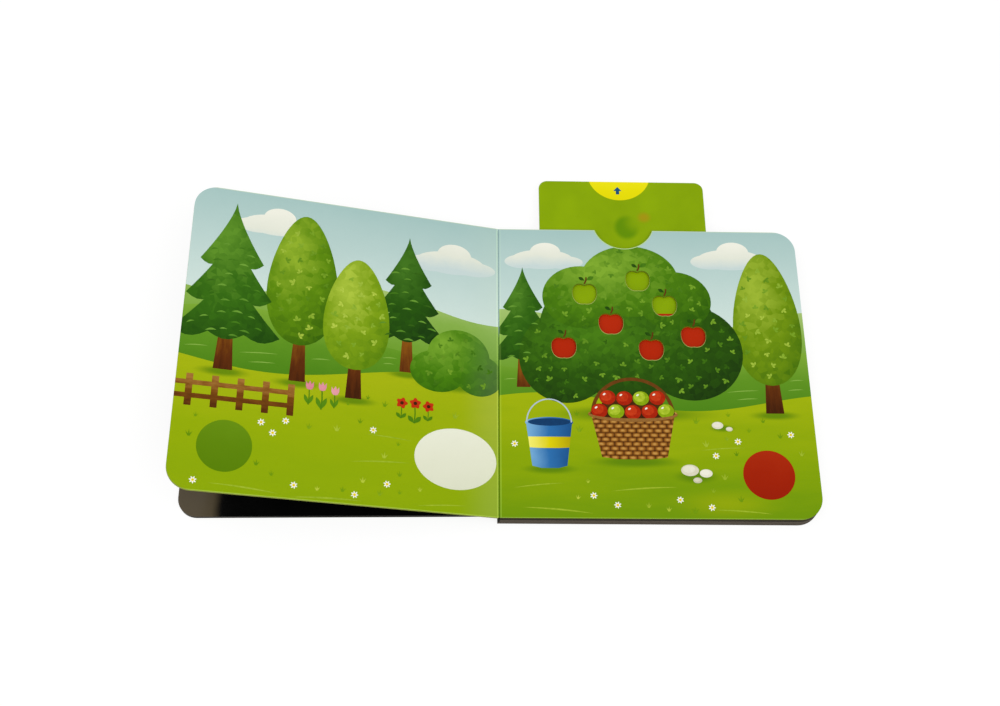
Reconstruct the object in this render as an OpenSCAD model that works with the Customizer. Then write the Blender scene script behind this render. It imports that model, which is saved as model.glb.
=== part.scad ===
// Childrens board book, open at a spread whose right page holds a pull-up card.
// Origin: on the table, at the gutter, half-way up the page. X to the right, Y up the page, Z up. Sizes in mm.

/* [Pages] */
// Width of a page, from the gutter to its outer edge
page_w = 165; // [140:1:200]
// Height of a page
page_h = 168; // [150:1:200]
// Radius of the rounded outer corners
corner_r = 12; // [4:0.5:20]
// Half of the gap that the gutter crease leaves between the pages
gutter_gap = 0.35; // [0.3:0.05:0.8]
// Thickness of the printed paper on a page
print_t = 0.2; // [0.15:0.05:0.3]

/* [Page block] */
// Number of lower leaves in the block
leaves = 1; // [1:1:4]
// Thickness of one lower leaf
lower_leaf_t = 2.8; // [1.5:0.1:4]
// Height of the gap seen between two leaves at their edges
leaf_gap = 0.8; // [0.1:0.05:1]
// Depth of that gap, in from the edge
leaf_gap_d = 2.5; // [0.4:0.1:4]
// Thickness of the rear ply of the pull-up leaf
rear_t = 1.5; // [0.6:0.1:2]
// Height of the channel that the card runs in
channel_t = 1.0; // [0.8:0.05:1.4]
// Thickness of the face ply of the pull-up leaf
face_t = 1.2; // [0.6:0.1:1.6]

/* [Turned leaf] */
// Thickness of the board of the turned leaf
leaf_t = 1.5; // [1:0.1:3]
// Angle that the turned leaf stands up at
leaf_lift = 14.7; // [4:0.1:40]

/* [Covers] */
// Thickness of a cover board
cover_t = 2.0; // [1.5:0.1:3]
// Thickness of the lining inside the front cover
lining_t = 0.2; // [0.15:0.05:0.3]
// Width of the crease between the spine and the front cover's inner edge
cover_crease = 1.55; // [1:0.05:3]
// How far the front cover's edges stand back from the leaf's
cover_short = 1.8; // [0:0.1:3]
// Thickness of the spine strip
spine_t = 1.2; // [0.8:0.1:2]
// Clearance between boards that swing on each other
swing_clear = 0.15; // [0.1:0.05:0.3]

/* [Pull-up card] */
// Width of the card
card_w = 93.5; // [70:0.5:110]
// Distance of the card's middle from the gutter
card_x = 69.7; // [60:0.1:90]
// Length of the card
card_len = 145; // [130:1:160]
// How far the card stands out above the page
card_out = 33; // [10:1:33]
// How far the card can still be pulled up
card_more = 25; // [10:1:25]
// Thickness of the card without its print
card_t = 0.45; // [0.3:0.05:0.5]
// Thickness of the print on the card
card_print_t = 0.15; // [0.1:0.05:0.2]
// Radius of the card's top corners
card_r = 5; // [1:0.5:10]
// Width of each stop shoulder at the card's foot
shoulder_w = 5; // [3:0.5:8]
// Length of the stop shoulders
shoulder_len = 12; // [6:1:20]
// Side clearance of the card in its channel
card_clear = 0.5; // [0.3:0.1:1]
// Height of the line between the card's two colours, below the page's top edge
colour_line = 51; // [40:1:60]
// Radius of the thumb tab printed on the card, and how far its centre lies above the card's edge
tab_r = 18; // [10:0.5:22]
tab_rise = 5.8; // [2:0.1:8]
// Width and height of the arrow on the tab
arrow_w = 4.8; // [3:0.1:8]
arrow_h = 5.0; // [3:0.1:8]

/* [Cut-outs] */
// Radius of the thumb notch, and how far its centre lies above the page's edge
notch_r = 17; // [10:0.5:20]
notch_rise = 5.4; // [2:0.1:8]
// Width and height of a window
win_w = 14.5; // [10:0.1:16]
win_h = 13.4; // [10:0.1:15]
// Depth of the dip at the top of a window
win_dip = 1.3; // [0:0.1:2]

/* [Printed spots] */
// Radius of the colour spots, and the distance of their middles from the outer and the near edge
spot_r = 13.4; // [8:0.1:18]
spot_in = 26.3; // [20:0.1:40]
spot_y = 23.8; // [18:0.1:30]
// Width and height of the blank panel, and the distance of its middle from the gutter and the near edge
panel_w = 43; // [20:1:44]
panel_h = 33; // [15:1:40]
panel_x = 23; // [22.5:0.1:30]
panel_y = 29; // [20:0.5:40]

/* [Printed picture] */
// Gap between the foot of the fruit bush and the basket's rim
basket_gap = 1.8; // [1:0.1:3]
// Width and height of the basket, and height of its rim
basket_w = 44; // [36:0.5:48]
basket_h = 24; // [18:0.5:26]
basket_rim = 8.4; // [6:0.1:9]

/* [Hidden] */

top_y = page_h / 2;
lower_t = leaves * (lower_leaf_t + leaf_gap);
block_z = cover_t + swing_clear;
rear_z = block_z + lower_t;
channel_z = rear_z + rear_t;
face_z = channel_z + channel_t;
print_z = face_z + face_t;
page_z = print_z + print_t;
// Hinge line of the front cover and the turned leaf, along the gutter just above the page
axis_z = page_z + swing_clear;
leaf_base = swing_clear + print_t + leaf_t;
lining_n = leaf_base + swing_clear;
cover_n = lining_n + lining_t + cover_t;
// Slope that rests the front cover's outer edge on the table
cover_slope = asin((axis_z - cover_n) / (page_w - cover_short));
spine_x = gutter_gap - spine_t;
cover_in = cover_crease - spine_x;
spine_lift = 2 * swing_clear;
spine_top = axis_z - leaf_base - spine_lift;
// Pull-up card at rest
card_top = top_y + card_out;
card_foot = card_top - card_len;
card_z = channel_z + (channel_t - card_t - card_print_t) / 2;
card_print_z = card_z + card_t;
step_y = card_foot + shoulder_len + card_more + card_clear;
channel_foot = card_foot - card_out - card_clear;
line_y = top_y - colour_line;
// Windows, from the card's middle and its colour line
win_at = [[-22.9, 11], [6.5, 19.5], [20.5, 4.2], [-34.9, -21.5], [-9.1, -7], [12, -22.3], [35.1, -14.3]];
// Page and card that the artwork is drawn for, and how far a shape that runs off the page is drawn past its edge
draw_w = 165;
draw_h = 168;
draw_card_w = 93.5;
beyond = 12;
// Middle and half-height of the fruit bush's lowest lobe, and the rim of the basket, from the colour line
lobe_y = -27;
lobe_h = 27;
basket_y = lobe_y - lobe_h - basket_gap - basket_rim / 2;
// Basket's middle from the card's, how much narrower its foot is, and how far its rim stands out each side
basket_x = 0.3;
basket_taper = 10;
basket_lip = 1.5;

// Drawn points carried to the page
function on_page(points) = [for (p = points) [p[0] * page_w / draw_w, p[1] * page_h / draw_h]];

// Drawn points carried to the card's middle and its colour line
function on_card(points) = [for (p = points) [card_x + p[0] * card_w / draw_card_w, line_y + p[1]]];

// Drawn points carried across the page, with their height from the card's colour line
function on_line(points) = [for (p = points) [p[0] * page_w / draw_w, line_y + p[1]]];

// Points of an oval
function oval(cx, cy, rx, ry, n = 48) = [for (i = [0:n - 1])
    [cx + rx * cos(360 * i / n), cy + ry * sin(360 * i / n)]];

// Points of a poplar's crown: an oval that narrows upwards
function crown(cx, cy, rx, ry, n = 48) = [for (p = oval(0, 0, 1, 1, n))
    [cx + rx * p[0] * (1 - 0.24 * p[1]), cy + ry * p[1]]];

// Points of a trunk that stands on the line y
function trunk(x, y, w, h) = [[x - 0.6 * w, y], [x + 0.6 * w, y], [x + 0.4 * w, y + h], [x - 0.4 * w, y + h]];

// Points of a straight-sided tub, wider at its top, with its foot on the line y
function tub(x, y, foot, rim, h) = [[x - foot / 2, y], [x - 0.25 * foot, y - 0.05 * h],
    [x + 0.25 * foot, y - 0.05 * h], [x + foot / 2, y], [x + rim / 2, y + h], [x - rim / 2, y + h]];

// Points of one tier of a fir: hollow sides and three scallops along its foot
function tier(x, low, half, h, n = 8) = concat(
    [for (i = [0:n]) [x - half * pow(1 - i / n, 1.35), low + h * i / n]],
    [for (i = [n - 1:-1:0]) [x + half * pow(1 - i / n, 1.35), low + h * i / n]],
    [for (i = [1:14]) [x + half * (1 - 2 * i / 15), low - 0.09 * h * abs(sin(540 * i / 15))]]);

// Points of a stretch of ground below a wavy skyline, from x = a to x = b
function ground(a, b, y, rise, turns, phase, n = 40) = concat(
    [for (i = [0:n]) [a + (b - a) * i / n, y + rise * sin(360 * turns * i / n + phase)]],
    [[b, -page_h - beyond], [a, -page_h - beyond]]);

// A number raised to a power with its sign kept
function keep_pow(v, p) = sign(v) * pow(abs(v), p);

// Points of a window: a rounded fruit, narrower at its foot, with a dip at the top
function fruit(w, h, dip, n = 44) = [for (i = [0:n - 1])
    let (a = 360 * i / n, s = sin(a),
        x = w / 2 * keep_pow(cos(a), 0.82) * (1 - 0.16 * (1 - s) / 2),
        d = max(0, 1 - abs(x) / (0.36 * w)))
    [x, h / 2 * keep_pow(s, 0.86) - (s > 0 ? dip : -0.35 * dip) * d * d]];

// Right page, with its sides drawn in by inset and its inner edge at start
module page_2d(inset = 0, start = gutter_gap) {
    r = corner_r - inset;
    out = page_w - inset;
    y = top_y - inset;
    translate([start, -y]) square([out - r - start, 2 * y]);
    translate([start, -y + r]) square([out - start, 2 * (y - r)]);
    for (s = [-1, 1]) translate([out - r, s * (y - r)]) circle(r, $fn = 72);
}

module left_page_2d() mirror([1, 0]) page_2d();

module notch_2d() translate([card_x, top_y + notch_rise]) circle(notch_r, $fn = 72);

module windows_2d() for (p = on_card(win_at)) translate(p) polygon(fruit(win_w, win_h, win_dip));

module cut_page_2d() difference() {
    page_2d();
    windows_2d();
    notch_2d();
}

module cloud_2d(x, y, s) {
    polygon(on_page(oval(x, y, s, 0.36 * s)));
    polygon(on_page(oval(x - 0.6 * s, y - 0.08 * s, 0.62 * s, 0.26 * s, 36)));
    polygon(on_page(oval(x + 0.66 * s, y - 0.1 * s, 0.66 * s, 0.24 * s, 36)));
    polygon(on_page(oval(x + 0.1 * s, y + 0.26 * s, 0.5 * s, 0.36 * s, 36)));
}

// Fir of three overlapping tiers on the line y, w wide and h high
module fir_2d(x, y, w, h) for (i = [0:2])
    polygon(on_page(tier(x, y + i * 0.27 * h, w / 2 * (1 - 0.2 * i), (i == 2 ? 0.46 : 0.52) * h)));

module bar_2d(x, y, w, h) polygon(on_page([[x, y], [x + w, y], [x + w, y + h], [x, y + h]]));

// Printed shapes of the left page, back to front
LEFT_N = 14;
module left_art(i) {
    if (i == 0) translate([-page_w, -top_y]) square([page_w, page_h]);
    if (i == 1) {
        cloud_2d(-122, 66, 17);
        cloud_2d(-27, 58, 19);
    }
    if (i == 2) polygon(on_page(ground(-draw_w - beyond, beyond, 30, 7, 1.3, 200)));
    if (i == 3) polygon(on_page(ground(-draw_w - beyond, beyond, 8, 8, 0.9, 20)));
    if (i == 4) polygon(on_page(ground(-draw_w - beyond, beyond, -14, 5, 1.1, 150)));
    if (i == 5) {
        polygon(on_page(trunk(-143, -20, 8, 24)));
        polygon(on_page(trunk(-106, -22, 7, 26)));
        polygon(on_page(trunk(-77, -28, 7, 24)));
        polygon(on_page(trunk(-50, -10, 6, 22)));
    }
    if (i == 6) fir_2d(-50, 10, 42, 60);
    if (i == 7) polygon(on_page(crown(-106, 36, 18, 38)));
    if (i == 8) fir_2d(-143, 0, 54, 76);
    if (i == 9) polygon(on_page(crown(-77, 20, 17, 32)));
    if (i == 10) {
        polygon(on_page(oval(-22, 2, 17, 16)));
        polygon(on_page(oval(-33, -7, 15, 12)));
        polygon(on_page(oval(-11, -7, 13, 12)));
    }
    if (i == 11) {
        for (k = [0:4]) bar_2d(-160 + 12.5 * k, -41, 3.4, 17);
        for (y = [-30, -37]) bar_2d(-draw_w - beyond, y, beyond + 57, 2.6);
    }
    if (i == 12) translate([spot_in - page_w, -top_y + spot_y]) circle(spot_r, $fn = 72);
    if (i == 13) polygon(oval(-panel_x, -top_y + panel_y, panel_w / 2, panel_h / 2, 60));
}

// Printed shapes of the right page, back to front
RIGHT_N = 14;
module right_art(i) {
    if (i == 0) translate([0, -top_y]) square([page_w, page_h]);
    if (i == 1) {
        cloud_2d(24, 65, 17);
        cloud_2d(128, 66, 18);
    }
    if (i == 2) polygon(on_line(ground(-beyond, draw_w + beyond, -7, 8, 1.1, 60)));
    if (i == 3) polygon(on_line(ground(-beyond, draw_w + beyond, -29, 7, 0.9, 190)));
    if (i == 4) polygon(on_line(ground(-beyond, draw_w + beyond, -53, 5, 1.2, 10)));
    if (i == 5) {
        polygon(on_page(trunk(145, -26, 8, 26)));
        polygon(on_page(trunk(13, -12, 6, 22)));
    }
    if (i == 6) polygon(on_page(crown(145, 30, 18, 40)));
    if (i == 7) fir_2d(13, 6, 36, 54);
    if (i == 8) {
        polygon(on_card(oval(0, -11, 48, 40, 60)));
        polygon(on_card(oval(-34, lobe_y, 25, lobe_h)));
        polygon(on_card(oval(33, -24, 28, 28)));
    }
    if (i == 9) {
        polygon(on_card(oval(2, 19, 27, 22)));
        polygon(on_card(oval(-25, 9, 21, 19)));
        polygon(on_card(oval(26, 7, 20, 18)));
    }
    if (i == 10) {
        polygon(on_card(tub(basket_x, basket_y - basket_h, basket_w - basket_taper, basket_w, basket_h)));
        polygon(on_card(oval(basket_x, basket_y, basket_w / 2 + basket_lip, basket_rim / 2)));
    }
    if (i == 11) {
        polygon(on_page(tub(26, -56, 18, 24, 24)));
        polygon(on_page(oval(26, -32, 12.5, 3)));
    }
    if (i == 12) polygon(on_page(tub(26, -46, 20.6, 22, 6)));
    if (i == 13) translate([page_w - spot_in, -top_y + spot_y]) circle(spot_r, $fn = 72);
}

// Printed field i of the left page: its shape less every shape in front of it
module left_field(i) turned() translate([0, 0, -swing_clear - print_t]) linear_extrude(print_t) difference() {
    intersection() {
        left_art(i);
        left_page_2d();
    }
    for (j = [i + 1:1:LEFT_N - 1]) left_art(j);
}

// Printed field i of the right page, with the cut-outs
module right_field(i) translate([0, 0, print_z]) linear_extrude(print_t) difference() {
    intersection() {
        right_art(i);
        cut_page_2d();
    }
    for (j = [i + 1:1:RIGHT_N - 1]) right_art(j);
}

// Frame of the turned leaf: hinge line at the origin, leaf lying level to the left
module turned() translate([0, 0, axis_z]) rotate([0, leaf_lift, 0]) children();

// Frame of the front cover, in the same way
module cover_frame() translate([0, 0, axis_z]) rotate([0, -cover_slope, 0]) children();

module card_2d() {
    half = card_w / 2;
    translate([card_x - half, card_foot]) square([card_w, card_len - card_r]);
    translate([card_x - half + card_r, card_foot]) square([card_w - 2 * card_r, card_len]);
    for (s = [-1, 1]) translate([card_x + s * (half - card_r), card_top - card_r]) circle(card_r, $fn = 48);
}

module tab_2d() intersection() {
    card_2d();
    translate([card_x - 1, card_top + tab_rise]) circle(tab_r, $fn = 72);
}

module arrow_2d() {
    tip = card_top - 3.3;
    polygon([[card_x - 2, tip], [card_x - 2 - arrow_w / 2, tip - 0.55 * arrow_h],
        [card_x - 2 - arrow_w / 5, tip - 0.55 * arrow_h], [card_x - 2 - arrow_w / 5, tip - arrow_h],
        [card_x - 2 + arrow_w / 5, tip - arrow_h], [card_x - 2 + arrow_w / 5, tip - 0.55 * arrow_h],
        [card_x - 2 + arrow_w / 2, tip - 0.55 * arrow_h]]);
}

module above_line_2d(y) translate([0, y]) square([page_w, page_h]);

module page_block() color("#6a635a") for (i = [0:leaves - 1])
    translate([0, 0, block_z + i * (lower_leaf_t + leaf_gap)]) {
        linear_extrude(lower_leaf_t) page_2d();
        translate([0, 0, lower_leaf_t]) linear_extrude(leaf_gap) page_2d(leaf_gap_d);
    }

module rear_board() color("#6a635a") translate([0, 0, rear_z]) linear_extrude(rear_t) page_2d();

module slide_frame() color("#6a635a") translate([0, 0, channel_z]) linear_extrude(channel_t) difference() {
    page_2d();
    half = card_w / 2 + card_clear;
    translate([card_x - half, step_y - 1]) square([2 * half, page_h]);
    translate([card_x - half - shoulder_w, channel_foot])
        square([2 * (half + shoulder_w), step_y - channel_foot]);
}

module face_board() color("#d8d2c4") translate([0, 0, face_z]) linear_extrude(face_t) cut_page_2d();

module spine() color("#1c1c1a") translate([spine_x, -top_y, block_z + spine_lift])
    cube([spine_t, page_h, spine_top - block_z - spine_lift]);

module right_sky() color("#a9c9c6") right_field(0);
module right_clouds() color("#e4e5d3") right_field(1);
module right_far_hill() color("#86a864") right_field(2);
module right_near_hill() color("#5c8e20") right_field(3);
module right_meadow() color("#88a402") right_field(4);
module right_trunks() color("#5a2a06") right_field(5);
module right_poplar() color("#6c8c08") right_field(6);
module right_fir() color("#2e5f0c") right_field(7);
module right_bush() color("#2c5806") right_field(8);
module right_bush_top() color("#47780a") right_field(9);
module right_basket() color("#70400a") right_field(10);
module right_pail() color("#2f6fa6") right_field(11);
module right_pail_band() color("#dcd408") right_field(12);
module right_spot() color("#9c1f01") right_field(13);

module front_cover() color("#4f7a1a") cover_frame() translate([0, 0, -cover_n])
    linear_extrude(cover_t) mirror([1, 0]) page_2d(cover_short, cover_in);

module front_lining() color("#050505") cover_frame() translate([0, 0, -lining_n - lining_t])
    linear_extrude(lining_t) mirror([1, 0]) page_2d(cover_short, cover_in);

module left_leaf() color("#d8d2c4") turned() translate([0, 0, -leaf_base])
    linear_extrude(leaf_t) left_page_2d();

module left_sky() color("#a9c6c2") left_field(0);
module left_clouds() color("#e4e5d3") left_field(1);
module left_far_hill() color("#86a864") left_field(2);
module left_near_hill() color("#5c8e20") left_field(3);
module left_meadow() color("#92a902") left_field(4);
module left_trunks() color("#5a2a06") left_field(5);
module left_fir_far() color("#265308") left_field(6);
module left_poplar_far() color("#5f8706") left_field(7);
module left_fir_near() color("#3a6a0a") left_field(8);
module left_poplar_near() color("#7a9c10") left_field(9);
module left_bush() color("#457b01") left_field(10);
module left_fence() color("#70400a") left_field(11);
module left_spot() color("#5b8203") left_field(12);
module left_panel() color("#e5e6cf") left_field(13);

module slider_card() color("#d8d2c4") translate([0, 0, card_z]) linear_extrude(card_t) {
    card_2d();
    translate([card_x - card_w / 2 - shoulder_w, card_foot])
        square([card_w + 2 * shoulder_w, shoulder_len]);
}

module slider_green() color("#87a602") translate([0, 0, card_print_z]) linear_extrude(card_print_t) difference() {
    intersection() {
        card_2d();
        above_line_2d(line_y);
    }
    tab_2d();
}

module slider_red() color("#b42a05") translate([0, 0, card_print_z]) linear_extrude(card_print_t) difference() {
    card_2d();
    above_line_2d(line_y);
}

module slider_tab() color("#e7dd04") translate([0, 0, card_print_z]) linear_extrude(card_print_t) difference() {
    tab_2d();
    arrow_2d();
}

module slider_arrow() color("#205b86") translate([0, 0, card_print_z]) linear_extrude(card_print_t) arrow_2d();

module back_cover() color("#4f7a1a") linear_extrude(cover_t) page_2d(0, spine_x);

page_block();
rear_board();
slide_frame();
face_board();
spine();
right_sky();
right_clouds();
right_far_hill();
right_near_hill();
right_meadow();
right_trunks();
right_poplar();
right_fir();
right_bush();
right_bush_top();
right_basket();
right_pail();
right_pail_band();
right_spot();
front_cover();
front_lining();
left_leaf();
left_sky();
left_clouds();
left_far_hill();
left_near_hill();
left_meadow();
left_trunks();
left_fir_far();
left_fir_near();
left_poplar_far();
left_poplar_near();
left_bush();
left_fence();
left_spot();
left_panel();
slider_card();
slider_green();
slider_red();
slider_tab();
slider_arrow();
back_cover();
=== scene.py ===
"""Looks of a childrens board book around its CAD frame: printed pages, boards, covers and pull-up card."""

import logging
import math
import random
from dataclasses import dataclass
from enum import Enum

import bpy
from mathutils import Matrix, Vector


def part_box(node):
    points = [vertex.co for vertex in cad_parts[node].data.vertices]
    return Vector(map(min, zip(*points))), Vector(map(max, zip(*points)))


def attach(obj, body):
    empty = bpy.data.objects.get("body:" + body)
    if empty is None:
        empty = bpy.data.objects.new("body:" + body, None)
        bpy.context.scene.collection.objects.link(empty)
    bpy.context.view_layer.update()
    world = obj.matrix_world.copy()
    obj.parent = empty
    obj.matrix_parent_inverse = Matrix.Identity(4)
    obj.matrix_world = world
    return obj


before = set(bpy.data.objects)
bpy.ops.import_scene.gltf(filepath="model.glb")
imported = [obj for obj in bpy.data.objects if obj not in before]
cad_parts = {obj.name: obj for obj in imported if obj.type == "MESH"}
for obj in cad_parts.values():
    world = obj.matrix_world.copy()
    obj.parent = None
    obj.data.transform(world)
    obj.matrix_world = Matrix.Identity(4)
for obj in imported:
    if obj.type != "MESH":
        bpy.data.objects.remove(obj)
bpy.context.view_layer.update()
LOG = logging.getLogger("board_book")

Tree = bpy.types.NodeTree
Socket = bpy.types.NodeSocket
Stops = tuple[tuple[float, str], ...]
Points = list[tuple[float, float]]
Pair = tuple[float, float]
Trio = tuple[float, float, float]
Quad = tuple[float, float, float, float]

MM = 0.001
LEFT_SEED = 7
RIGHT_SEED = 11
# The turned leaf lifts about an axis that lies a little over the right page's print.
LEAF_LIFT = math.radians(14.7)
SWING_CLEAR = 0.15 * MM
INK_T = 0.04 * MM
# A face whose normal rises by more than this is an upper face, not a cut edge.
UPWARD = 0.7
# Sockets of a Mix node that mixes colours: the lower colour, the one laid over it and the result.
UNDER = 6
OVER = 7
MIXED = 2


class Shade(Enum):
    """Way in which a printed field runs from its dark to its light colour."""

    DOWN = "lightest at the top of the page"
    ROUND = "lightest towards the upper left, as on a ball"
    SIDE = "lightest on the left, as on a tub"


class Page(Enum):
    """Page that a printed motif lies on, with the body that carries it."""

    LEFT = "front_half"
    RIGHT = "block"


def linear(colour: str) -> Quad:
    """Turn an sRGB hex colour into linear light.

    Args:
        colour: Six hex digits after a hash sign.

    Returns:
        Red, green, blue and a full alpha.
    """
    parts = [int(colour[i : i + 2], 16) / 255 for i in (1, 3, 5)]
    light = [c / 12.92 if c <= 0.04045 else ((c + 0.055) / 1.055) ** 2.4 for c in parts]
    return light[0], light[1], light[2], 1.0


def even(*colours: str) -> Stops:
    """Spread colours evenly over a colour run, from its dark to its light end."""
    return tuple((i / (len(colours) - 1), colour) for i, colour in enumerate(colours))


def add_node(tree: Tree, kind: str, settings: dict, links: dict, out: int | str = 0) -> Socket | None:
    """Add a shader node with its settings and links.

    Inputs 1 to 4 of a Map Range node are the ends of the range that comes in and of the one that goes out.

    Args:
        tree: Node tree of a material or the world.
        kind: Blender's name of the node type, without its first part.
        settings: Node properties, socket values by name or index, or colour stops under the key "stops".
        links: Source sockets by the name or index of the input that they feed.
        out: Name or index of the output that is wanted.

    Returns:
        That output, or none where the node has no outputs.
    """
    made = tree.nodes.new("ShaderNode" + kind)
    for key, value in settings.items():
        if key == "stops":
            ramp = made.color_ramp
            while len(ramp.elements) < len(value):
                ramp.elements.new(0.5)
            for element, (place, colour) in zip(ramp.elements, value):
                element.position = place
                element.color = linear(colour)
        elif isinstance(key, str) and hasattr(made, key):
            setattr(made, key, value)
        else:
            made.inputs[key].default_value = value
    for key, source in links.items():
        tree.links.new(source, made.inputs[key])
    return made.outputs[out] if made.outputs else None


def new_material(name: str) -> tuple[bpy.types.Material, Tree, Socket]:
    """Make a node material with nothing but its coordinates.

    Args:
        name: Name of the finish.

    Returns:
        The material, its node tree and the Object coordinates in it.
    """
    material = bpy.data.materials.new(name)
    material.use_nodes = True
    tree = material.node_tree
    tree.nodes.clear()
    return material, tree, add_node(tree, "TexCoord", {}, {}, "Object")


def close_shader(tree: Tree, settings: dict, links: dict) -> None:
    """End a material with a Principled shader.

    Args:
        tree: Node tree of the material.
        settings: Socket values of the shader.
        links: Source sockets by input name.
    """
    shader = add_node(tree, "BsdfPrincipled", {"IOR": 1.5, **settings}, links)
    add_node(tree, "OutputMaterial", {}, {"Surface": shader})


def sway(tree: Tree, chance: Socket, amount: float, base: Socket) -> Socket:
    """Move a value up and down by a pattern of chance.

    Args:
        tree: Node tree of the material.
        chance: Pattern that runs from 0 to 1.
        amount: Width of the move.
        base: Value that is moved.

    Returns:
        Socket with the moved value.
    """
    shift = add_node(tree, "Math", {"operation": "SUBTRACT", 1: 0.5}, {0: chance})
    return add_node(tree, "Math", {"operation": "MULTIPLY_ADD", 1: amount}, {0: shift, 2: base})


@dataclass(frozen=True)
class Wash:
    """Soft oval of ink on a print, placed in millimetres on its page."""

    x: float
    y: float
    half_w: float
    half_h: float
    ink: str = "#557e04"
    weight: float = 0.85
    core: float = 0.25

    def lay(self, tree: Tree, where: Socket, colour: Socket) -> Socket:
        """Mix the wash into a print.

        Args:
            tree: Node tree of the material.
            where: Object coordinates.
            colour: Colour of the print.

        Returns:
            Socket with the wash laid over the colour.
        """
        lean = math.cos(LEAF_LIFT) if self.x < 0 else 1.0
        near = add_node(
            tree,
            "Mapping",
            {
                "vector_type": "TEXTURE",
                "Location": (lean * self.x * MM, self.y * MM, 0),
                "Scale": (lean * self.half_w * MM, self.half_h * MM, 1),
            },
            {"Vector": where},
        )
        away = add_node(tree, "VectorMath", {"operation": "LENGTH"}, {0: near}, "Value")
        amount = add_node(
            tree,
            "MapRange",
            {"interpolation_type": "SMOOTHSTEP", 1: self.core, 2: 1.0, 3: self.weight, 4: 0.0},
            {0: away},
        )
        return add_node(
            tree, "Mix", {"data_type": "RGBA", OVER: linear(self.ink)}, {0: amount, UNDER: colour}, MIXED
        )


@dataclass(frozen=True)
class ClearFilm:
    """Clear polypropylene film, laminated on a print under heat."""

    peel_mm: float = 2.5
    smooth: float = 0.27
    rough: float = 0.36
    relief_mm: float = 0.02

    def close(self, tree: Tree, where: Socket, colour: Socket) -> None:
        """End a printed material with the film's gloss.

        Args:
            tree: Node tree of the material.
            where: Object coordinates.
            colour: Colour of the print.
        """
        # The eye sees a quiet gloss, broken up by a faint peel. The real peel is finer than a pixel, so it
        # is drawn as coarse as it needs to show. The low specular level keeps the inks deep.
        peel = add_node(
            tree, "TexNoise", {"Scale": 1 / (self.peel_mm * MM), "Detail": 2.0}, {"Vector": where}, "Fac"
        )
        rough = add_node(tree, "MapRange", {1: 0.3, 2: 0.7, 3: self.smooth, 4: self.rough}, {0: peel})
        bump = add_node(
            tree, "Bump", {"Strength": 0.08, "Distance": self.relief_mm * MM}, {"Height": peel}
        )
        close_shader(
            tree, {"Specular IOR Level": 0.06}, {"Base Color": colour, "Roughness": rough, "Normal": bump}
        )


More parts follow.
